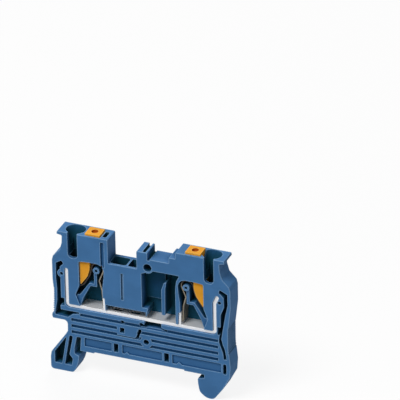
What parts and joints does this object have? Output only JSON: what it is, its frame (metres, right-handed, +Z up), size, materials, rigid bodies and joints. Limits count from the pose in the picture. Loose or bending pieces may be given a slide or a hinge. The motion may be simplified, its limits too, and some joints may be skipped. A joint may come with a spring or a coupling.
{
  "type": "push-in terminal block",
  "caption": "Slim feed-through terminal block for a 35 mm rail, open on one side to show its current bar, clamping springs and push buttons.",
  "frame": {"origin": "middle of the rail grip: on the rail's centre line, at half the block's width, level with the rail's top face", "axes": "+X along the block towards its fixed hook, +Y along the rail from the open side to the closed side, +Z up, away from the rail"},
  "size_m": [0.0494, 0.0052, 0.0409],
  "materials": {
    "body_plastic": "satin moulded polyamide, blue",
    "tinned_copper": "tin plated, bright",
    "spring_steel": "bright rolled strip",
    "button_plastic": "satin moulded plastic, orange"
  },
  "bodies": {
    "block": {"housing": "body_plastic", "current_bar": "tinned_copper", "spring_left": "spring_steel", "spring_right": "spring_steel"},
    "left_button": {"button_left": "button_plastic"},
    "right_button": {"button_right": "button_plastic"}
  },
  "joints": [
    {"name": "press_left", "type": "slide", "parent": "block", "child": "left_button", "axis": [0, 0, -1], "range_m": [0, 0.0014], "stiffness_N_per_m": 2000, "deforming": ["spring_left"]},
    {"name": "press_right", "type": "slide", "parent": "block", "child": "right_button", "axis": [0, 0, -1], "range_m": [0, 0.0014], "stiffness_N_per_m": 2000, "deforming": ["spring_right"]}
  ]
}
